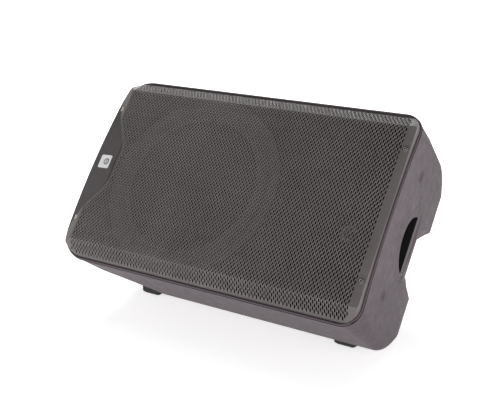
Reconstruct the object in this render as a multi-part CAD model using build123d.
from build123d import *
import functools
import math
import os

# Fifteen inch two-way active loudspeaker cabinet, lying on its side as a floor monitor.
#
# Every piece is drawn in the cabinet's own frame, in millimetres, and turned at the end:
#   X  along the long side, from the base end (-X) to the handle end (+X)
#   Y  depth, 0 at the corners of the front rim and growing towards the back
#   Z  across the width
# tilt_cabinet() lays the finished pieces on their monitor feet, with +Z up and the origin
# at the bottom centre of the whole object's box.

# Driving dimensions of the cabinet
LENGTH = 690.0
WIDTH = 422.0
DEPTH = 325.0
TILT = 39.87  # lean of the front face from upright when the cabinet lies on its side, degrees
WALL = 4.2
RIM_CROWN = 15.0  # how far the middle of each short rim stands in front of its corners
FRONT_REACH = -24.0  # the walls' surfaces are drawn from here, and cut to the crowned rim

# Drafts are the walls' slopes: millimetres inwards for each millimetre of depth.
SIDE_DRAFT = 0.039
END_DRAFT = 0.048
BASE_DRAFT = 0.015
BEND_DEPTH = 188.0  # where each side wall turns into its monitor face
BEND_SPREAD = 23.0
MONITOR_DRAFT = math.tan(math.radians(TILT))
CAP_DEPTH = 242.0  # where the handle end turns towards the back
CAP_SPREAD = 20.0
CAP_DRAFT = 0.97
HEEL_DEPTH = 285.0  # where the base end turns towards the back
HEEL_SPREAD = 15.0
HEEL_DRAFT = 0.6
BACK_ROUND = 14.0
BASE_CORNERS = ((0.0, 57.4), (70.0, 78.4), (160.0, 181.0), (325.0, 40.0))  # depth, radius
TOP_CORNERS = ((0.0, 39.0), (70.0, 26.0), (325.0, 13.0))  # depth, radius

# Front
FLANGE = 4.0
RIM_WIDE = 2.2
RIM_STEP = 2.5  # how far the ledge inside the rim lies behind the rim's edge
PARTING_GAP = 1.0
TRAY_INSET = 5.0
TRAY_WALL = 4.0
TRAY_FLOOR = 18.0
TRAY_THICK = 6.0
GRILLE_FRONT = -22.0
GRILLE_THICK = 1.5
GRILLE_FOLD = 178.0
GRILLE_SLOPE = 0.80
GRILLE_INSET = 3.5
GRILLE_EDGE = 1.3  # how far the grille's free edge lies behind the rim's edge
BASE_FOLD_X = -318.0
BASE_FOLD_SLOPE = 0.5185
GRILLE_SCREW_Z = 130.0
GRILLE_SCREW_X = (-328.0, 333.0)

# Woofer
WOOFER_X = -106.0
WOOFER_FLANGE_R = 194.0
WOOFER_HOLE_R = 176.0
COIL_R = 38.0

# Horn and its driver
HORN_X = 212.0
HORN_MOUTH_X = 98.0
HORN_MOUTH_Z = 128.0
THROAT_R = 18.0
THROAT_DEPTH = 128.0
HF_R = 52.0

# Reflex ports
PORT_X = 82.0
PORT_Z = 166.0
PORT_R = 26.0
PORT_END = 138.0
PORT_TAPER = 0.4  # how much the tube narrows towards its inner end

# Amplifier panel
PANEL_X = -115.0
PANEL_LENGTH = 284.0
PANEL_WIDTH = 106.0
PANEL_FACE = 313.0
PANEL_THICK = 3.0
COVER_DEPTH = 246.0

# Handle in the top end
HANDLE_BACK = 142.0
HANDLE_FRONT = 67.0
HANDLE_HALF = 75.0

# Pole socket and rigging points
POLE_DEPTH = 105.0
POLE_BORE_R = 17.75
POLE_LENGTH = 80.0
RIGGING_X = (90.0, 180.0)
RIGGING_BORE_R = 4.25
RIGGING_LENGTH = 16.0

# Feet
FOOT_TALL = 8.5
FOOT_LONG = 48.0
FOOT_WIDE = 40.0
FOOT_ALONG = (24.0, 144.0)  # along the sloping face, from the bend
MONITOR_FOOT_X = (-229.0, 248.0)
BASE_FOOT_FACE = -LENGTH / 2 - 5.5  # all four pads end in one plane
BASE_FEET = [(42.0, -85.0), (42.0, 85.0), (235.0, -34.0), (235.0, 34.0)]  # depth, width

# Badge plate at the base end
BADGE_SHELL = 2.2
BADGE_SLOPE = 0.135
BADGE_X = -312.0
BADGE_Z = 2.5

# Places on the amplifier panel, as (length, width)
SOCKETS_X = -62.0
SOCKET_Z = (-24.0, 24.0)
LINK_PLACE = (-24.0, -24.0)
KNOBS_X = 2.0
KNOB_Z = (-24.0, 24.0)
BUTTONS = [(-24.0, 14.0), (-24.0, 34.0)]
INLET_PLACE = (-104.0, -22.0)
SWITCH_PLACE = (-104.0, 26.0)
ROCKER_LEAN = 8.0  # degrees either side of level
LED_PLACES = [(-6.0 + 8 * k, 39.0) for k in range(3)]

# Screw places
BAFFLE_SCREWS = [(x, z) for x in (-255.0, 20.0, 130.0, 215.0, 295.0) for z in (-194.0, 194.0)]
BAFFLE_SCREWS = BAFFLE_SCREWS + [(x, z) for x in (-331.0, 329.5) for z in (-66.0, 66.0)]
PANEL_SCREWS = [
    (PANEL_X + dx, z) for dx in (-138.0, -46.0, 46.0, 138.0) for z in (-49.0, 49.0)
]
HANDLE_SCREWS = [(99.0, -68.5), (99.0, 68.5), (138.5, -42.0), (138.5, 42.0)]  # depth, width
DIMPLES = [(73.0, -121.0), (73.0, 121.0)]  # depth, width
POLE_SCREW_R = 25.5

# Internal leads
LEAD_R = 2.4


# ---------------------------------------------------------------- small helpers
def block(x0, x1, y0, y1, z0, z1):
    middle = ((x0 + x1) / 2, (y0 + y1) / 2, (z0 + z1) / 2)
    return Pos(*middle) * Box(x1 - x0, y1 - y0, z1 - z0)


def rod_y(x, z, y0, y1, radius):
    """A round bar along the depth."""
    return Pos(x, (y0 + y1) / 2, z) * Rot(90, 0, 0) * Cylinder(radius, y1 - y0)


def rod_x(y, z, x0, x1, radius):
    """A round bar along the length."""
    return Pos((x0 + x1) / 2, y, z) * Rot(0, 90, 0) * Cylinder(radius, x1 - x0)


def turned(points, x, z):
    """A (radius, depth) outline revolved about an axis along the depth."""
    outline = make_face(Polyline(*points, close=True))
    return Pos(x, 0, z) * revolve(outline, axis=Axis.Y)


def plan_plane(depth):
    return Plane(origin=(0, depth, 0), x_dir=(1, 0, 0), z_dir=(0, -1, 0))


def plan_prism(outline, y0, y1):
    """An outline drawn in X and Z, extruded through a span of depth."""
    return extrude(plan_plane(y1) * outline, amount=y1 - y0)


def end_prism(outline, x0, x1):
    """An outline drawn in Y and Z, extruded along the length."""
    return extrude(Plane.YZ.offset(x0) * outline, amount=x1 - x0)


def polygon(*points):
    return make_face(Polyline(*points, close=True))


def merged(shapes):
    """Several shapes that are one solid."""
    total = shapes[0]
    for shape in shapes[1:]:
        total = total + shape
    return total


def without(shape, cutters):
    for cutter in cutters:
        shape = shape - cutter
    return shape


# ---------------------------------------------------------------- cabinet surfaces
def bent(depth, corner, value, slope, next_slope, spread):
    """A line with one rounded bend, as a function of depth."""
    if depth <= corner - spread:
        return value + slope * (depth - corner)
    if depth >= corner + spread:
        return value + next_slope * (depth - corner)
    run = depth - corner + spread
    return value + slope * (depth - corner) + (next_slope - slope) * run**2 / (4 * spread)


def half_width(depth):
    at_bend = WIDTH / 2 - SIDE_DRAFT * BEND_DEPTH
    return bent(depth, BEND_DEPTH, at_bend, -SIDE_DRAFT, -MONITOR_DRAFT, BEND_SPREAD)


def top_end(depth):
    at_bend = LENGTH / 2 - END_DRAFT * CAP_DEPTH
    return bent(depth, CAP_DEPTH, at_bend, -END_DRAFT, -CAP_DRAFT, CAP_SPREAD)


def base_end(depth):
    at_bend = -LENGTH / 2 + BASE_DRAFT * HEEL_DEPTH
    return bent(depth, HEEL_DEPTH, at_bend, BASE_DRAFT, HEEL_DRAFT, HEEL_SPREAD)


def corner_radius(corners, depth):
    """The radius of a vertical edge, drawn straight between the depths where it is given."""
    spans = list(zip(corners, corners[1:]))
    for (near, near_r), (far, far_r) in spans:
        if depth <= far or far == spans[-1][1][0]:
            return near_r + (far_r - near_r) * (depth - near) / (far - near)


def plan_outline(depth, inset):
    """The cabinet's outline across X and Z at one depth, moved in by inset."""
    to_back = DEPTH - inset - depth
    turn = max(0.0, BACK_ROUND - to_back)
    rounding = BACK_ROUND - math.sqrt(BACK_ROUND**2 - turn**2)
    shrink = inset + rounding
    low, high = base_end(depth) + shrink, top_end(depth) - shrink
    half = half_width(depth) - shrink
    base_r = corner_radius(BASE_CORNERS, depth) - inset
    top_r = corner_radius(TOP_CORNERS, depth) - inset
    edges = [
        Line((low + base_r, -half), (high - top_r, -half)),
        CenterArc((high - top_r, top_r - half), top_r, -90, 90),
        Line((high, top_r - half), (high, half - top_r)),
        CenterArc((high - top_r, half - top_r), top_r, 0, 90),
        Line((high - top_r, half), (low + base_r, half)),
        CenterArc((low + base_r, half - base_r), base_r, 90, 90),
        Line((low, half - base_r), (low, base_r - half)),
        CenterArc((low + base_r, base_r - half), base_r, 180, 90),
    ]
    return plan_plane(depth) * make_face(edges)


def body_depths(inset):
    """Depths of the cabinet's sections: close together round each bend."""
    front = [FRONT_REACH, 70.0, 115.0]
    bend = [BEND_DEPTH + BEND_SPREAD * k / 4 for k in range(-4, 5)]
    cap = [CAP_DEPTH + CAP_SPREAD * k / 2 for k in range(-1, 3)]
    heel = [HEEL_DEPTH + HEEL_SPREAD * k / 2 for k in range(-1, 2)]
    back = DEPTH - inset
    turn = [back - BACK_ROUND * (1 - math.sin(math.radians(a))) for a in (0, 30, 60, 90)]
    return front + bend + cap + heel + turn


@functools.cache
def cabinet_body(inset):
    return loft([plan_outline(depth, inset) for depth in body_depths(inset)], ruled=True)


def front_body(inset, last):
    """The front end of the cabinet's volume, down to the depth given."""
    return loft([plan_outline(depth, inset) for depth in (FRONT_REACH, last)], ruled=True)


def front_space(offset):
    """Everything in front of the crowned rim surface, moved back by offset."""
    half, reach = WIDTH / 2, 240.0
    radius = (half**2 + RIM_CROWN**2) / (2 * RIM_CROWN)
    edge = offset - RIM_CROWN + radius - math.sqrt(radius**2 - reach**2)
    outline = make_face(
        [
            ThreePointArc((edge, -reach), (offset - RIM_CROWN, 0), (edge, reach)),
            Line((edge, reach), (-90, reach)),
            Line((-90, reach), (-90, -reach)),
            Line((-90, -reach), (edge, -reach)),
        ]
    )
    return end_prism(outline, -380, 380)


# ---------------------------------------------------------------- handle shapes
def handle_outline(inset):
    """The D of the handle insert, drawn in Y and Z, straight towards the back."""
    front, back = HANDLE_FRONT + inset, HANDLE_BACK - inset
    half = HANDLE_HALF - inset
    shoulder = HANDLE_FRONT + 38
    face = make_face(
        [
            ThreePointArc((shoulder, -half), (front, 0), (shoulder, half)),
            Line((shoulder, half), (back, half)),
            Line((back, half), (back, -half)),
            Line((back, -half), (shoulder, -half)),
        ]
    )
    back_corners = face.vertices().sort_by(Axis.X)[-2:]
    return fillet(back_corners, radius=18 - inset)


def hand_hole_outline(grow):
    """The hand hole: curved towards the front, straight along the bar."""
    front, back, half = 88 - grow, 121 + grow, 52 + grow
    return make_face(
        [
            ThreePointArc((back, -half), (front, 0), (back, half)),
            Line((back, half), (back, -half)),
        ]
    )


def hand_scoop(grow):
    """The hollow behind the handle bar, open towards the back of the cabinet."""
    side = polygon(
        (380, 160 - grow),
        (332, 162 - grow),
        (316 - grow, 172 - grow),
        (221 - grow, 340),
        (380, 340),
    )
    half, wing = 54.0, 20.0
    middle = extrude(side, amount=half + grow, both=True)
    spread = loft(
        [
            Plane.XY.offset(half - 6 + grow) * side,
            Plane.XY.offset(half + wing + grow) * Pos(34, 26) * side,
        ],
        ruled=True,
    )
    return middle + spread + mirror(spread, about=Plane.XY)


# ---------------------------------------------------------------- cabinet mouldings
def shell_bosses():
    """Bosses for the baffle screws, joined to the side and end walls."""
    bosses = []
    for x, z in BAFFLE_SCREWS:
        if abs(z) > 100:
            outer = math.copysign(215, z)
            inner = math.copysign(187, z)
            bosses.append(block(x - 8, x + 8, 24.5, 58, min(inner, outer), max(inner, outer)))
        else:
            outer = math.copysign(350, x)
            inner = x - math.copysign(8, x)
            bosses.append(block(min(inner, outer), max(inner, outer), 24.5, 58, z - 8, z + 8))
    return bosses


def panel_frame():
    """The recess that holds the amplifier panel: four walls and a ledge."""
    outer_x, outer_z = PANEL_LENGTH / 2 + 3.5, PANEL_WIDTH / 2 + 3.5
    ledge_front = PANEL_FACE - PANEL_THICK - 0.8 - 3.5
    walls = block(
        PANEL_X - outer_x, PANEL_X + outer_x, ledge_front, DEPTH - 1, -outer_z, outer_z
    )
    return walls


def panel_opening():
    half_x, half_z = PANEL_LENGTH / 2 + 0.5, PANEL_WIDTH / 2 + 0.5
    ledge_back = PANEL_FACE - PANEL_THICK - 0.8
    mouth = block(PANEL_X - half_x, PANEL_X + half_x, ledge_back, DEPTH + 5, -half_z, half_z)
    window = block(
        PANEL_X - half_x + 8, PANEL_X + half_x - 8, 290, DEPTH, -half_z + 8, half_z - 8
    )
    return mouth + window


def handle_collar():
    """A wall and a ledge round the handle opening, inside the shell."""
    ledge = end_prism(handle_outline(-3.5), 315, 350)
    return ledge & cabinet_body(1.0)


def rear_shell():
    outer = cabinet_body(0) - hand_scoop(0)
    cavity = cabinet_body(WALL) - hand_scoop(WALL)
    shell = outer - cavity
    shell = shell + (handle_collar() & outer)
    for boss in (Compound(shell_bosses()) & cabinet_body(1.0)).solids():
        shell = shell + boss
    shell = shell + panel_frame()
    for x in RIGGING_X:
        shell = shell + rod_y(x, 0, DEPTH - 22, DEPTH - 1, 14)
    shell = shell + rod_x(POLE_DEPTH, 0, base_end(POLE_DEPTH) + 1, -325, 33)
    cutters = [front_space(FLANGE + PARTING_GAP), panel_opening()]
    cutters.append(end_prism(handle_outline(0), 325, 380))
    cutters.append(end_prism(handle_outline(7), 300, 380))
    for x, z in BAFFLE_SCREWS:
        cutters.append(rod_y(x, z, 20, 50, 1.95))
    for depth, z in HANDLE_SCREWS:
        cutters.append(rod_x(depth, z, 305, 345, 1.7))
    for depth, z in DIMPLES:
        cutters.append(Pos(top_end(depth) + 26.5, depth, z) * Sphere(30))
    for x, z in PANEL_SCREWS:
        cutters.append(rod_y(x, z, 300, 320, 1.6))
    for x in RIGGING_X:
        cutters.append(rod_y(x, 0, DEPTH - RIGGING_LENGTH, DEPTH + 5, 9.05))
    cutters.append(rod_x(POLE_DEPTH, 0, -360, -320, 21.3))
    cutters.append(rod_x(POLE_DEPTH, 0, -360, base_end(POLE_DEPTH) + 3, 31))
    for turn in range(45, 360, 90):
        depth = POLE_DEPTH + POLE_SCREW_R * math.cos(math.radians(turn))
        z = POLE_SCREW_R * math.sin(math.radians(turn))
        cutters.append(rod_x(depth, z, -360, -326, 1.6))
    for depth, z in BASE_FEET:
        cutters.append(rod_x(depth, z, -360, -330, 1.8))
    for x in MONITOR_FOOT_X:
        for along in FOOT_ALONG:
            cutters.append(foot_hole(x, along, 1.8))
    return without(shell, cutters)


def baffle_posts():
    """Posts under the grille's screws and under the badge plate."""
    posts = []
    for x in GRILLE_SCREW_X:
        for z in (-GRILLE_SCREW_Z, GRILLE_SCREW_Z):
            posts.append(rod_y(x, z, -40, TRAY_FLOOR + 2, 5.5) & grille_volume(GRILLE_THICK))
    for z in (-26, 26):
        posts.append(rod_y(BADGE_X, z, -40, TRAY_FLOOR + 2, 6) & badge_volume(BADGE_SHELL))
    return posts


def front_baffle():
    last = TRAY_FLOOR + TRAY_THICK
    rim = front_body(0, last) & front_space(FLANGE)
    tray = front_body(TRAY_INSET, last) + rim
    mouth = front_body(RIM_WIDE, last) & front_space(RIM_STEP)
    hollow = front_body(TRAY_INSET + TRAY_WALL, TRAY_FLOOR)
    baffle = tray - front_space(0) - mouth - hollow
    for post in baffle_posts():
        baffle = baffle + post
    cutters = [
        rod_y(WOOFER_X, 0, 0, 40, WOOFER_HOLE_R),
        block(HORN_X - 103, HORN_X + 103, 0, 40, -133, 133),
    ]
    for z in (-PORT_Z, PORT_Z):
        cutters.append(rod_y(PORT_X, z, 0, 40, PORT_R + 2.3))
    for x, z in BAFFLE_SCREWS:
        cutters.append(rod_y(x, z, 0, 40, 2.4))
    for x in GRILLE_SCREW_X:
        for z in (-GRILLE_SCREW_Z, GRILLE_SCREW_Z):
            cutters.append(rod_y(x, z, -40, 12, 1.6))
    for x, z in woofer_screw_places() + horn_screw_places():
        cutters.append(rod_y(x, z, 0, 40, 2.3))
    return without(baffle, cutters)


def baffle_seal():
    """Foam strip in the parting line, between the baffle's flange and the shell."""
    band = front_body(1.2, 24.0) - front_body(3.4, 24.0)
    gap = front_space(FLANGE + PARTING_GAP - 0.1) - front_space(FLANGE + 0.1)
    return band & gap


def screw(x, z, head_y, shank_end, head_r, shank_r, head_tall):
    """A screw driven along the depth, with a hexagon socket in its head."""
    head = rod_y(x, z, head_y - head_tall, head_y, head_r)
    shank = rod_y(x, z, head_y - 0.5, shank_end, shank_r)
    socket = plan_prism(Pos(x, z) * RegularPolygon(head_r * 0.45, 6), head_y - 9, head_y - 0.8)
    return head + shank - socket


def baffle_screws():
    return [screw(x, z, TRAY_FLOOR, 46, 4.2, 1.9, 2.6) for x, z in BAFFLE_SCREWS]


# ---------------------------------------------------------------- grille and badge
def sheet_shift(slope, inner):
    """How a fold moves sideways and a slope moves in depth, for a face moved in by inner."""
    return inner * math.tan(math.atan(slope) / 2), inner * math.hypot(1, slope)


def grille_volume(inner):
    """Everything behind the grille's outer faces, moved in by inner."""
    top = GRILLE_FRONT + inner
    fold_shift, side_shift = sheet_shift(GRILLE_SLOPE, inner)
    fold, far = GRILLE_FOLD - fold_shift, 215.0
    far_y = GRILLE_FRONT + (far - GRILLE_FOLD) * GRILLE_SLOPE + side_shift
    across = polygon(
        (60, far), (far_y, far), (top, fold), (top, -fold), (far_y, -far), (60, -far)
    )
    fold_shift, end_shift = sheet_shift(BASE_FOLD_SLOPE, inner)
    end = -360.0
    end_y = GRILLE_FRONT + (BASE_FOLD_X - end) * BASE_FOLD_SLOPE + end_shift
    along = polygon(
        (end, end_y), (BASE_FOLD_X + fold_shift, top), (400, top), (400, 60), (end, 60)
    )
    return end_prism(across, -350, 350) & extrude(along, amount=250, both=True)


def grille_lid(inner):
    """The grille's volume, trimmed to the rim."""
    trimmed = grille_volume(inner) & front_body(GRILLE_INSET + inner, 24.0)
    return trimmed & front_space(GRILLE_EDGE)


def badge_outline(grow):
    """The lens shaped plate at the base end, drawn in X and Z."""
    tip, shoulder, nose = 124 + grow, 46 + grow, -285 + grow
    face = polygon(
        (-360, -tip - 12), (-331, -tip), (nose, -shoulder), (nose, shoulder), (-331, tip),
        (-360, tip + 12),
    )
    noses = face.vertices().sort_by(Axis.X)[-2:]
    return fillet(noses, radius=55)


def badge_volume(inner):
    """Everything behind the badge plate's face, which carries the rim's crown inwards."""
    lean = math.degrees(math.atan(BADGE_SLOPE))
    behind = block(-380, 380, -60, 60, -160, 160) - front_space(inner - 0.8)
    hinge_x = -LENGTH / 2
    return Pos(hinge_x, 0, 0) * Rot(0, 0, -lean) * Pos(-hinge_x, 0, 0) * behind


def badge_lid(inner):
    lens = plan_prism(badge_outline(-inner), -40, 30)
    return badge_volume(inner) & lens & front_body(0.6 + inner, 30.0)


def badge_plate():
    cup = badge_lid(0) - badge_lid(BADGE_SHELL)
    return cup & front_space(-0.3)


def grille():
    sheet = grille_lid(0) - grille_lid(GRILLE_THICK)
    sheet = sheet - plan_prism(badge_outline(0.5), -60, 40)
    for x in GRILLE_SCREW_X:
        for z in (-GRILLE_SCREW_Z, GRILLE_SCREW_Z):
            sheet = sheet - rod_y(x, z, -40, 0, 2.2)
    return sheet


def grille_screw_seat(x):
    """Depth of the grille's outer face at a grille screw."""
    return GRILLE_FRONT + max(0.0, BASE_FOLD_X - x) * BASE_FOLD_SLOPE


def grille_screws():
    tilt = math.degrees(math.atan(BASE_FOLD_SLOPE))
    screws = []
    for x in GRILLE_SCREW_X:
        seat = grille_screw_seat(x)
        lean = tilt if x < 0 else 0
        for z in (-GRILLE_SCREW_Z, GRILLE_SCREW_Z):
            head = rod_y(0, 0, -2.4, -0.05, 4.6)
            socket = plan_prism(RegularPolygon(2.2, 6), -9, -0.9)
            head = Pos(x, seat, z) * Rot(0, 0, -lean) * (head - socket)
            stem = rod_y(x, z, seat - 0.6, seat + 16, 1.5)
            screws.append(head + stem)
    return screws


def badge():
    """A plain square emblem with a ring, standing on the badge plate."""
    lean = -math.degrees(math.atan(BADGE_SLOPE))
    tile = plan_prism(fillet(Rectangle(30, 30).vertices(), radius=3), -1.6, -0.02)
    ring = plan_prism(Circle(10) - Circle(6.5), -3, -0.9)
    face = -(RIM_CROWN + 0.85) * math.hypot(1, BADGE_SLOPE)
    seat = face - (BADGE_X + LENGTH / 2) * BADGE_SLOPE
    return Pos(BADGE_X, seat, BADGE_Z) * Rot(0, 0, lean) * (tile - ring)


# ---------------------------------------------------------------- woofer
def woofer_screw_places():
    places = []
    for k in range(8):
        angle = math.radians(22.5 + 45 * k)
        places.append((WOOFER_X + 188.5 * math.cos(angle), 188.5 * math.sin(angle)))
    return places


def woofer_basket():
    bowl = turned(
        [
            (WOOFER_FLANGE_R, TRAY_FLOOR - 4), (WOOFER_FLANGE_R, TRAY_FLOOR),
            (174, TRAY_FLOOR), (170, 40), (92, 104), (88, 128), (46, 128), (46, 124), (84, 124),
            (88, 101), (166, 38), (169, TRAY_FLOOR - 4),
        ],
        WOOFER_X,
        0,
    )
    windows = []
    for k in range(8):
        slot = block(98, 158, 34, 112, -22, 22)
        windows.append(Pos(WOOFER_X, 0, 0) * Rot(0, 22.5 + 45 * k, 0) * slot)
    holes = [rod_y(x, z, 0, 40, 2.4) for x, z in woofer_screw_places()]
    return without(bowl, windows + holes)


def woofer_surround():
    """Rubber half roll between the frame and the cone."""
    roll = make_face(
        [
            ThreePointArc((152, 12.4), (164, 2.5), (176, 12.4)),
            Line((176, 12.4), (176, 14)),
            Line((176, 14), (174.5, 14)),
            ThreePointArc((174.5, 14), (164, 4.2), (153.5, 14)),
            Line((153.5, 14), (146.5, 14)),
            Line((146.5, 14), (146.5, 12.4)),
            Line((146.5, 12.4), (152, 12.4)),
        ]
    )
    return Pos(WOOFER_X, 0, 0) * revolve(roll, axis=Axis.Y)


def woofer_cone():
    """Paper cone with three pressed ribs."""
    outline = [(153, 14.1), (146, 14.1)]
    outline += [(120, 33), (117, 33.4), (114, 37.4), (92, 54), (89, 54.2), (86, 58.4)]
    outline += [(64, 76), (61, 76.2), (58, 80.6), (COIL_R + 1.2, 96)]
    back = [(COIL_R + 1.2, 97.6), (58.8, 81.9), (146.8, 15.6), (153, 15.6)]
    return turned(outline + back, WOOFER_X, 0)


def dome(apex, radius, sag, thick, facing):
    """Half section of a thin spherical dome; facing is -1 for one that bulges forward."""
    sphere = (radius**2 + sag**2) / (2 * sag)
    sweep_angle = -facing * math.degrees(math.asin(radius / sphere))
    centre = (0, apex - facing * sphere)
    outer = CenterArc(centre, sphere, 90 * facing, sweep_angle)
    inner = CenterArc(centre, sphere - thick, 90 * facing, sweep_angle)
    return make_face([outer, Line(outer @ 1, inner @ 1), inner, Line(inner @ 0, outer @ 0)])


def woofer_dust_cap():
    """Domed cap over the voice coil, glued to the cone."""
    cap = revolve(dome(57, 61, 18, 1.4, -1), axis=Axis.Y)
    return Pos(WOOFER_X, 0, 0) * cap


def woofer_voice_coil():
    """The former and its winding, which reaches into the magnet gap."""
    return turned(
        [
            (COIL_R, 92), (COIL_R + 1, 92), (COIL_R + 1, 126), (COIL_R + 1.6, 126),
            (COIL_R + 1.6, 142), (COIL_R, 142),
        ],
        WOOFER_X,
        0,
    )


def woofer_spider():
    """Corrugated centring disc between the former and the basket."""
    top = []
    steps = 12
    first, last = COIL_R + 1.3, 85.0
    for k in range(steps + 1):
        top.append((first + (last - first) * k / steps, 112 - 1.4 * (k % 2)))
    bottom = [(r, y + 1.0) for r, y in reversed(top)]
    return turned(top + bottom, WOOFER_X, 0)


def woofer_top_plate():
    return turned([(41.6, 128.2), (80, 128.2), (80, 136), (41.6, 136)], WOOFER_X, 0)


def woofer_magnet():
    return turned([(52, 136), (96, 136), (96, 157), (52, 157)], WOOFER_X, 0)


def woofer_pole_piece():
    """Back plate with the pole that stands inside the voice coil."""
    return turned(
        [(12, 127), (36, 127), (36, 157), (90, 157), (90, 166), (12, 166)], WOOFER_X, 0
    )


def woofer_screws():
    head_y = TRAY_FLOOR - 4
    return [screw(x, z, head_y, 32, 4.2, 2.2, 3.0) for x, z in woofer_screw_places()]


def woofer_terminals():
    """Terminal block with two blades, on the side of the basket."""
    base = block(WOOFER_X + 93.2, WOOFER_X + 103, 106, 122, -14, 14)
    blades = [block(WOOFER_X + 101, WOOFER_X + 113, 112, 113, z - 3, z + 3) for z in (-8, 8)]
    return merged([base] + blades)


# ---------------------------------------------------------------- horn
def horn_loft(grow, over):
    sections = []
    steps = 6
    for k in range(steps + 1):
        share = k / steps
        depth = THROAT_DEPTH + over * (1 - 2 * share) - (THROAT_DEPTH - 14) * share
        half_x = THROAT_R + (HORN_MOUTH_X - THROAT_R) * share**1.7 + grow
        half_z = THROAT_R + (HORN_MOUTH_Z - THROAT_R) * share**1.25 + grow
        radius = (THROAT_R + 4 * share + grow) * 0.98
        outline = Pos(HORN_X, 0) * RectangleRounded(2 * half_x, 2 * half_z, radius)
        sections.append(plan_plane(depth) * outline)
    return loft(sections, ruled=True)


def horn_screw_places():
    places = [(HORN_X + dx, z) for dx in (-107.0, 107.0) for z in (-100.0, 0.0, 100.0)]
    return places + [(HORN_X + dx, z) for dx in (-60.0, 60.0) for z in (-138.0, 138.0)]


def horn():
    flange_outline = Pos(HORN_X, 0) * RectangleRounded(224, 286, 14)
    flange = plan_prism(flange_outline, TRAY_FLOOR - 4, TRAY_FLOOR)
    throat = rod_y(HORN_X, 0, THROAT_DEPTH - 6, THROAT_DEPTH, 48)
    body = horn_loft(3.5, 0) + flange + throat
    for turn in range(0, 180, 90):
        rib = block(-60, 60, 70, THROAT_DEPTH - 3, -1.5, 1.5)
        body = body + (Pos(HORN_X, 0, 0) * Rot(0, turn, 0) * rib)
    body = body - horn_loft(0, 0.5)
    holes = [rod_y(x, z, 0, 40, 2.4) for x, z in horn_screw_places()]
    holes += [rod_y(x, z, 110, 140, 3.1) for x, z in hf_bolt_places()]
    return without(body, holes)


def horn_screws():
    head_y = TRAY_FLOOR - 4
    return [screw(x, z, head_y, 30, 3.9, 2.1, 2.6) for x, z in horn_screw_places()]


def hf_bolt_places():
    places = []
    for k in range(4):
        angle = math.radians(45 + 90 * k)
        places.append((HORN_X + 38 * math.cos(angle), 38 * math.sin(angle)))
    return places


def hf_driver_body():
    """Magnet, plates and throat of the compression driver."""
    body = turned(
        [
            (12.5, 128.4), (48, 128.4), (48, 134), (HF_R, 134), (HF_R, 152), (40, 152), (40, 156),
            (30, 156), (30, 153), (12.5, 150),
        ],
        HORN_X,
        0,
    )
    terminal = block(HORN_X - HF_R - 9, HORN_X - HF_R + 4, 138, 148, -7, 7)
    holes = [rod_y(x, z, 120, 148, 2.6) for x, z in hf_bolt_places()]
    return without(body + terminal, holes)


def hf_diaphragm():
    """Thin dome with its flat edge, over the driver's phase plug."""
    edge = turned([(21.6, 157.2), (28.5, 157.2), (28.5, 157.8), (21.6, 157.8)], 0, 0)
    whole = revolve(dome(163.6, 22, 6.2, 0.6, 1), axis=Axis.Y) + edge
    return Pos(HORN_X, 0, 0) * whole


def hf_rear_cap():
    return turned(
        [
            (40.2, 152.1), (HF_R - 2, 152.1), (HF_R - 2, 172), (HF_R - 8, 178), (0, 178), (0, 175),
            (HF_R - 10, 175), (40.2, 166),
        ],
        HORN_X,
        0,
    )


def hf_bolts():
    bolts = []
    for x, z in hf_bolt_places():
        head = rod_y(x, z, THROAT_DEPTH - 12, THROAT_DEPTH - 6, 5)
        bolts.append(head + rod_y(x, z, THROAT_DEPTH - 8, THROAT_DEPTH + 16, 2.5))
    return bolts


def reflex_port(z):
    """Flared tube through the baffle."""
    inner = PORT_R
    return turned(
        [
            (inner + 7, TRAY_FLOOR - 2.5), (inner + 7, TRAY_FLOOR - 0.02),
            (inner + 2, TRAY_FLOOR - 0.02), (inner + 2 - PORT_TAPER, PORT_END),
            (inner - PORT_TAPER, PORT_END), (inner, 30), (inner + 1.5, 21),
            (inner + 4.5, TRAY_FLOOR - 2.5),
        ],
        PORT_X,
        z,
    )


# ---------------------------------------------------------------- handle
def handle_insert():
    """Flush D shaped insert with the hand pocket that runs behind the bar."""
    skin = end_prism(handle_outline(0.35), 325.2, 380) & cabinet_body(0)
    pocket_wall = end_prism(hand_hole_outline(3.5), 283, 330) + block(283, 320, 118, 134, -54, 54)
    funnel = loft(
        [
            Plane.YZ.offset(325) * hand_hole_outline(0),
            Plane.YZ.offset(345) * hand_hole_outline(10),
        ],
        ruled=True,
    )
    pocket = end_prism(hand_hole_outline(0), 287, 326) + block(287, 316, 116, 130.5, -50, 50)
    insert = skin + pocket_wall - pocket - funnel
    for depth, z in HANDLE_SCREWS:
        insert = insert - rod_x(depth, z, 320, 334, 1.3)
    return insert


def handle_screws():
    screws = []
    for depth, z in HANDLE_SCREWS:
        screws.append(
            rod_x(depth, z, 311.7, 314.98, 3.0) + rod_x(depth, z, 314, 333, 1.25)
        )
    return screws


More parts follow.
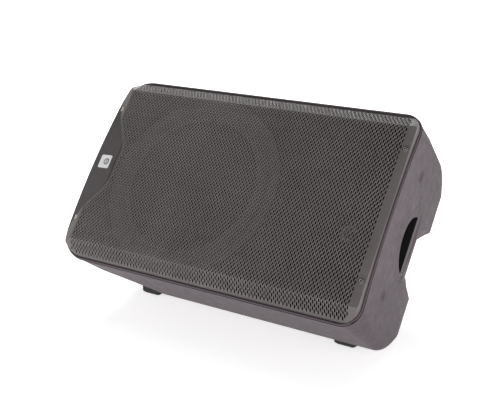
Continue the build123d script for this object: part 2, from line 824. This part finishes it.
# ---------------------------------------------------------------- amplifier
def amp_panel():
    back = PANEL_FACE - PANEL_THICK
    half_x, half_z = PANEL_LENGTH / 2, PANEL_WIDTH / 2
    panel = block(PANEL_X - half_x, PANEL_X + half_x, back, PANEL_FACE, -half_z, half_z)
    cutters = [rod_y(SOCKETS_X, z, 300, 320, 12.2) for z in SOCKET_Z]
    cutters.append(rod_y(LINK_PLACE[0], LINK_PLACE[1], 300, 320, 12.2))
    cutters += [rod_y(KNOBS_X, z, 300, 320, 3.4) for z in KNOB_Z]
    cutters += [rod_y(x, z, 300, 320, 4.3) for x, z in BUTTONS]
    cutters += [rod_y(x, z, 300, 320, 1.7) for x, z in LED_PLACES]
    cutters += [rod_y(x, z, 300, 320, 2.0) for x, z in PANEL_SCREWS]
    inlet_x, inlet_z = INLET_PLACE
    cutters.append(block(inlet_x - 13.7, inlet_x + 13.7, 300, 320, inlet_z - 10.2, inlet_z + 10.2))
    switch_x, switch_z = SWITCH_PLACE
    cutters.append(
        block(switch_x - 10.2, switch_x + 10.2, 300, 320, switch_z - 7.2, switch_z + 7.2)
    )
    return without(panel, cutters)


def amp_screws():
    screws = []
    for x, z in PANEL_SCREWS:
        head = rod_y(x, z, PANEL_FACE, PANEL_FACE + 2, 3.2)
        slot = block(x - 2.2, x + 2.2, PANEL_FACE + 1, PANEL_FACE + 3, z - 0.4, z + 0.4)
        cross = block(x - 0.4, x + 0.4, PANEL_FACE + 1, PANEL_FACE + 3, z - 2.2, z + 2.2)
        screws.append(head + rod_y(x, z, 303, PANEL_FACE + 0.5, 1.55) - slot - cross)
    return screws


def amp_heatsink():
    x0, x1, half_z = PANEL_X - 132, PANEL_X - 34, 43.5
    pieces = [block(x0, x1, PANEL_FACE, PANEL_FACE + 2.5, -half_z, half_z)]
    fins = 15
    for k in range(fins):
        z = -half_z + 1 + (2 * half_z - 2) * k / (fins - 1)
        pieces.append(block(x0, x1, PANEL_FACE + 2, PANEL_FACE + 10.5, z - 0.8, z + 0.8))
    return merged(pieces)


def amp_cover():
    """Folded sheet cover round the amplifier's boards, inside the cabinet."""
    x0, x1, half_z = PANEL_X - 130, PANEL_X + 130, 42.0
    back = PANEL_FACE - PANEL_THICK - 0.02
    outer = block(x0, x1, COVER_DEPTH, back, -half_z, half_z)
    inner = block(x0 + 1.2, x1 - 1.2, COVER_DEPTH + 1.2, back + 5, 1.2 - half_z, half_z - 1.2)
    slots = []
    for k in range(9):
        x = x0 + 26 + 26 * k
        slots.append(block(x - 7, x + 7, COVER_DEPTH + 12, COVER_DEPTH + 15, -60, 60))
        slots.append(block(x - 7, x + 7, COVER_DEPTH + 22, COVER_DEPTH + 25, -60, 60))
    exits = [block(x1 - 3, x1 + 3, 262, 272, -30, -18), block(x1 - 3, x1 + 3, 262, 272, 18, 30)]
    return without(outer, [inner] + slots + exits)


def power_board():
    """Power supply and amplifier circuit board on its four pillars."""
    x0, x1 = PANEL_X - 124, PANEL_X + 124
    pieces = [block(x0, x1, 262, 263.6, -36, 36)]
    for x in (x0 + 6, x1 - 6):
        for z in (-31, 31):
            pieces.append(rod_y(x, z, COVER_DEPTH + 1.2, 262.5, 3))
    for k in range(4):
        x = PANEL_X + 62 + 12 * k
        pieces.append(block(x, x + 5, 263, 278, 8, 12))
    return merged(pieces)


def power_transformer():
    core = block(PANEL_X - 112, PANEL_X - 70, 263.65, 293, -18, 18)
    coil = block(PANEL_X - 106, PANEL_X - 76, 266, 291, -24, 24)
    return core + coil


def power_capacitors():
    caps = []
    for x in (PANEL_X - 50, PANEL_X - 24):
        can = rod_y(x, 20, 263.65, 298, 11)
        groove = turned([(10.4, 268), (12, 268), (12, 270), (10.4, 270)], x, 20)
        caps.append(can - groove)
    return caps


def input_board():
    """Small board behind the input sockets and controls."""
    board = block(PANEL_X + 34, PANEL_X + 127, 284, 285.6, -38, 38)
    chips = [block(x, x + 8, 282, 284.5, -4, 4) for x in (-70.0, -50.0, -30.0)]
    return merged([board] + chips)


def mains_inlet():
    """Three pin appliance inlet with a recess for the mains lead's connector."""
    x, z = INLET_PLACE
    face = PANEL_FACE
    flange = block(x - 17, x + 17, face, face + 2, z - 13, z + 13)
    body = block(x - 13.4, x + 13.4, face - 22, face + 1, z - 9.9, z + 9.9)
    recess = block(x - 12, x + 12, face - 17, face + 5, z - 8, z + 8)
    pins = []
    for dx, dz in ((-7, -2), (0, 2), (7, -2)):
        pins.append(block(x + dx - 1, x + dx + 1, face - 18, face - 3, z + dz - 2, z + dz + 2))
    return merged([flange + body - recess] + pins)


def mains_switch_body():
    x, z = SWITCH_PLACE
    face = PANEL_FACE
    frame = block(x - 13, x + 13, face, face + 2, z - 10, z + 10)
    body = block(x - 10, x + 10, face - 20, face + 1, z - 7, z + 7)
    well = block(x - 9, x + 9, face - 12, face + 5, z - 6.2, z + 6.2)
    return frame + body - well


def mains_rocker():
    """Rocker that tips about an axle across the switch, drawn in its off position."""
    x, z = SWITCH_PLACE
    pivot = PANEL_FACE - 3
    cap = make_face(
        [
            Line((-7.6, -4.0), (7.6, -4.0)),
            Line((7.6, -4.0), (7.9, 6.2)),
            ThreePointArc((7.9, 6.2), (0, 4.2), (-7.9, 6.2)),
            Line((-7.9, 6.2), (-7.6, -4.0)),
        ]
    )
    return Pos(x, pivot, z) * Rot(0, 0, -ROCKER_LEAN) * extrude(cap, amount=5.8, both=True)


def input_socket(z):
    """Combined three pin and jack socket."""
    x, face = SOCKETS_X, PANEL_FACE
    plate = plan_prism(Pos(x, z) * RectangleRounded(26, 31, 2), face, face + 1.8)
    barrel = rod_y(x, z, face - 26, face + 1, 12)
    cup = rod_y(x, z, face - 16, face + 5, 9.6)
    slot = block(x - 2.6, x + 2.6, face - 1, face + 5, z + 8, z + 13.6)
    core = rod_y(x, z, face - 17, face - 3, 6.6)
    jack = rod_y(x, z, face - 15, face + 5, 3.3)
    pins = []
    for turn in (90, 210, 330):
        dx, dz = 8.1 * math.cos(math.radians(turn)), 8.1 * math.sin(math.radians(turn))
        pins.append(rod_y(x + dx, z + dz, face - 17, face - 12, 0.9))
    socket = plate + barrel - cup - slot
    return merged([socket + core - jack] + pins)


def socket_latch(z):
    """Push tab that lets a plug go."""
    x, face = SOCKETS_X, PANEL_FACE
    return block(x - 2.3, x + 2.3, face + 0.05, face + 3.4, z + 9.9, z + 13.3)


def link_socket():
    """Male three pin output socket."""
    x, z = LINK_PLACE
    face = PANEL_FACE
    plate = plan_prism(Pos(x, z) * RectangleRounded(26, 31, 2), face, face + 1.8)
    barrel = rod_y(x, z, face - 18, face + 1, 12)
    cup = rod_y(x, z, face - 15, face + 5, 9.6)
    pins = []
    for turn in (90, 210, 330):
        dx, dz = 4.8 * math.cos(math.radians(turn)), 4.8 * math.sin(math.radians(turn))
        pins.append(rod_y(x + dx, z + dz, face - 16, face - 3, 1.2))
    return merged([plate + barrel - cup] + pins)


def volume_knob(z):
    """Knurled knob on its shaft, with a pointer groove."""
    x, face = KNOBS_X, PANEL_FACE
    skirt = rod_y(x, z, face + 1.0, face + 3, 8.5)
    grip = rod_y(x, z, face + 2, face + 11, 6.8)
    shaft = rod_y(x, z, face - 12, face + 2, 3.0)
    grooves = []
    for k in range(16):
        angle = math.radians(22.5 * k)
        gx, gz = x + 7.2 * math.cos(angle), z + 7.2 * math.sin(angle)
        grooves.append(rod_y(gx, gz, face + 3.2, face + 13, 0.7))
    pointer = block(x - 0.5, x + 0.5, face + 10.4, face + 13, z + 1.5, z + 8)
    return without(skirt + grip + shaft, grooves + [pointer])


def volume_pots():
    """Potentiometer bodies with threaded bushes, one behind each knob."""
    pots = []
    for z in KNOB_Z:
        x, back = KNOBS_X, PANEL_FACE - PANEL_THICK
        can = rod_y(x, z, back - 11, back - 1, 8)
        bush = turned([(3.06, back - 5), (3.35, back - 5), (3.35, back + 2), (3.06, back + 2)], x, z)
        bore = rod_y(x, z, back - 9.5, back + 5, 3.06)
        pots.append(can + bush - bore)
    return pots


def push_button(x, z):
    face = PANEL_FACE
    cap = rod_y(x, z, face - 5, face + 4.5, 4.0)
    return fillet(cap.edges().sort_by(Axis.Y)[-1], radius=0.8)


def button_switches():
    """Bodies of the push switches, with the well that each button slides in."""
    bodies = []
    for x, z in BUTTONS:
        back = PANEL_FACE - PANEL_THICK
        body = block(x - 6, x + 6, back - 12, back - 0.05, z - 6, z + 6)
        bodies.append(body - rod_y(x, z, back - 5.5, back + 3, 4.25))
    return bodies


def status_lenses():
    lenses = []
    for x, z in LED_PLACES:
        lens = rod_y(x, z, PANEL_FACE - 6, PANEL_FACE + 0.6, 1.6)
        lenses.append(fillet(lens.edges().sort_by(Axis.Y)[-1], radius=0.5))
    return lenses


# ---------------------------------------------------------------- sockets and feet
def pole_socket():
    """Cup for a loudspeaker stand's pole, set into the base end."""
    mouth = base_end(POLE_DEPTH) + 0.2
    flange = rod_x(POLE_DEPTH, 0, mouth, mouth + 2.7, 30.5)
    tube = rod_x(POLE_DEPTH, 0, mouth, mouth + POLE_LENGTH + 3, 21)
    bore = rod_x(POLE_DEPTH, 0, mouth - 5, mouth + POLE_LENGTH, POLE_BORE_R)
    holes = []
    for depth, z in pole_screw_places():
        holes.append(rod_x(depth, z, mouth - 5, mouth + 5, 1.9))
    return without(flange + tube, [bore] + holes)


def pole_screw_places():
    places = []
    for k in range(4):
        angle = math.radians(45 + 90 * k)
        places.append(
            (POLE_DEPTH + POLE_SCREW_R * math.cos(angle), POLE_SCREW_R * math.sin(angle))
        )
    return places


def pole_screws():
    mouth = base_end(POLE_DEPTH) + 0.2
    screws = []
    for depth, z in pole_screw_places():
        screws.append(
            rod_x(depth, z, mouth - 1.4, mouth, 3.4) + rod_x(depth, z, mouth - 1, -327, 1.55)
        )
    return screws


def rigging_inserts():
    """Threaded bushes moulded into the back for hanging brackets."""
    inserts = []
    for x in RIGGING_X:
        bush = rod_y(x, 0, DEPTH - RIGGING_LENGTH + 0.1, DEPTH, 9)
        inserts.append(bush - rod_y(x, 0, DEPTH - RIGGING_LENGTH - 5, DEPTH + 5, RIGGING_BORE_R))
    return inserts


def on_monitor_face(x, along):
    """A frame on the lower monitor face: X along the length, -Z straight out of it."""
    turn = math.radians(TILT)
    corner = WIDTH / 2 - SIDE_DRAFT * BEND_DEPTH
    depth = BEND_DEPTH + along * math.cos(turn)
    return Pos(x, depth, along * math.sin(turn) - corner) * Rot(TILT, 0, 0)


def foot_hole(x, along, radius):
    return on_monitor_face(x, along) * Cylinder(radius, 40)


def monitor_feet():
    """Rubber blocks with sloped sides, under the lower monitor face."""
    feet = []
    for x in MONITOR_FOOT_X:
        for along in FOOT_ALONG:
            block_outline = RectangleRounded(FOOT_LONG, FOOT_WIDE, 7)
            pad_outline = RectangleRounded(FOOT_LONG - 9, FOOT_WIDE - 9, 5)
            foot = loft(
                [
                    Plane.XY.offset(-FOOT_TALL) * pad_outline,
                    Plane.XY.offset(-FOOT_TALL / 2) * block_outline,
                ],
                ruled=True,
            )
            foot = foot + extrude(
                Plane.XY.offset(-FOOT_TALL / 2) * block_outline, amount=FOOT_TALL / 2 + 18
            )
            foot = foot - Pos(0, 0, -FOOT_TALL) * Cylinder(4.4, 8)
            foot = on_monitor_face(x, along) * (foot - Cylinder(1.9, 60))
            feet.append(foot - cabinet_body(0))
    return feet


def base_feet():
    """Flat rubber pads that carry the cabinet when it stands upright."""
    feet = []
    for depth, z in BASE_FEET:
        outline = Pos(depth, z) * RectangleRounded(30, 26, 6)
        pad = end_prism(outline, BASE_FOOT_FACE, base_end(depth) + 3)
        recess = rod_x(depth, z, -370, BASE_FOOT_FACE + 3, 4.4)
        pad = pad - recess - rod_x(depth, z, -370, -330, 1.9)
        feet.append(pad - cabinet_body(0))
    return feet


def foot_screws():
    screws = []
    for depth, z in BASE_FEET:
        head = rod_x(depth, z, BASE_FOOT_FACE + 0.6, BASE_FOOT_FACE + 2.98, 3.8)
        screws.append(head + rod_x(depth, z, BASE_FOOT_FACE + 2, -335, 1.75))
    for x in MONITOR_FOOT_X:
        for along in FOOT_ALONG:
            head = Pos(0, 0, -FOOT_TALL + 2.7) * Cylinder(3.8, 2.5)
            shank = Pos(0, 0, 2) * Cylinder(1.75, 18)
            screws.append(on_monitor_face(x, along) * (head + shank))
    return screws


# ---------------------------------------------------------------- internal leads
def lead(points):
    """A round lead: straight runs joined by arcs as large as the runs allow."""
    spots = [Vector(*point) for point in points]
    radii = []
    for before, here, after in zip(spots, spots[1:], spots[2:]):
        run_in, run_out = here - before, after - here
        half_turn = math.radians(run_in.get_angle(run_out) / 2)
        shorter = min(run_in.length, run_out.length)
        radii.append(0.45 * shorter / math.tan(half_turn))
    path = FilletPolyline(*points, radius=radii)
    start = Plane(origin=path @ 0, z_dir=path % 0)
    return sweep(start * Circle(LEAD_R), path=path)


def woofer_lead():
    return lead(
        [
            (11, 267, -24), (33, 266.5, -24), (47, 250, -23), (50, 226, -20), (47, 200, -16),
            (43, 174, -11), (38, 150, -6), (28, 129, -2), (15, 119.5, -0.4), (-2.5, 118, 0),
        ]
    )


def horn_lead():
    return lead(
        [
            (11, 267, 24), (34, 267.5, 24), (56, 258, 22), (76, 240, 19), (92, 218, 15),
            (104, 194, 11), (114, 170, 7), (122, 154, 3), (134, 144.5, 1), (150.5, 143, 0),
        ]
    )


# ---------------------------------------------------------------- laying down and export
def all_parts():
    parts = {
        "rear_shell": rear_shell(),
        "front_baffle": front_baffle(),
        "baffle_seal": baffle_seal(),
        "baffle_screws": baffle_screws(),
        "grille": grille(),
        "grille_screws": grille_screws(),
        "badge_plate": badge_plate(),
        "badge": badge(),
        "woofer_basket": woofer_basket(),
        "woofer_surround": woofer_surround(),
        "woofer_cone": woofer_cone(),
        "woofer_dust_cap": woofer_dust_cap(),
        "woofer_voice_coil": woofer_voice_coil(),
        "woofer_spider": woofer_spider(),
        "woofer_top_plate": woofer_top_plate(),
        "woofer_magnet": woofer_magnet(),
        "woofer_pole_piece": woofer_pole_piece(),
        "woofer_screws": woofer_screws(),
        "woofer_terminals": woofer_terminals(),
        "horn": horn(),
        "horn_screws": horn_screws(),
        "hf_driver_body": hf_driver_body(),
        "hf_diaphragm": hf_diaphragm(),
        "hf_rear_cap": hf_rear_cap(),
        "hf_bolts": hf_bolts(),
        "handle_insert": handle_insert(),
        "handle_screws": handle_screws(),
        "amp_panel": amp_panel(),
        "amp_screws": amp_screws(),
        "amp_heatsink": amp_heatsink(),
        "amp_cover": amp_cover(),
        "power_board": power_board(),
        "power_transformer": power_transformer(),
        "power_capacitors": power_capacitors(),
        "input_board": input_board(),
        "mains_inlet": mains_inlet(),
        "mains_switch_body": mains_switch_body(),
        "mains_rocker": mains_rocker(),
        "link_socket": link_socket(),
        "volume_pots": volume_pots(),
        "button_switches": button_switches(),
        "status_lenses": status_lenses(),
        "pole_socket": pole_socket(),
        "pole_screws": pole_screws(),
        "rigging_inserts": rigging_inserts(),
        "monitor_feet": monitor_feet(),
        "base_feet": base_feet(),
        "foot_screws": foot_screws(),
        "woofer_lead": woofer_lead(),
        "horn_lead": horn_lead(),
    }
    for k, z in enumerate((-PORT_Z, PORT_Z), start=1):
        parts[f"reflex_port_{k}"] = reflex_port(z)
    for k, z in enumerate(SOCKET_Z, start=1):
        parts[f"input_socket_{k}"] = input_socket(z)
        parts[f"socket_latch_{k}"] = socket_latch(z)
    for k, z in enumerate(KNOB_Z, start=1):
        parts[f"volume_knob_{k}"] = volume_knob(z)
    for k, (x, z) in enumerate(BUTTONS, start=1):
        parts[f"push_button_{k}"] = push_button(x, z)
    return parts


def as_compound(shape):
    """One compound per node, whether it is one solid or a group of them."""
    pieces = shape if isinstance(shape, list) else [shape]
    return Compound([solid for piece in pieces for solid in piece.solids()])


def tilt_cabinet(parts):
    """Leans every piece back and stands the whole on the floor at the origin."""
    leaned = {name: Rot(-TILT, 0, 0) * as_compound(part) for name, part in parts.items()}
    box = Compound(list(leaned.values())).bounding_box()
    shift = Pos(-(box.min.X + box.max.X) / 2, -(box.min.Y + box.max.Y) / 2, -box.min.Z)
    print("shift", shift.position, "size", box.size)
    return {name: shift * part for name, part in leaned.items()}


os.makedirs("parts", exist_ok=True)
for name, part in tilt_cabinet(all_parts()).items():
    export_step(part, f"parts/{name}.step")
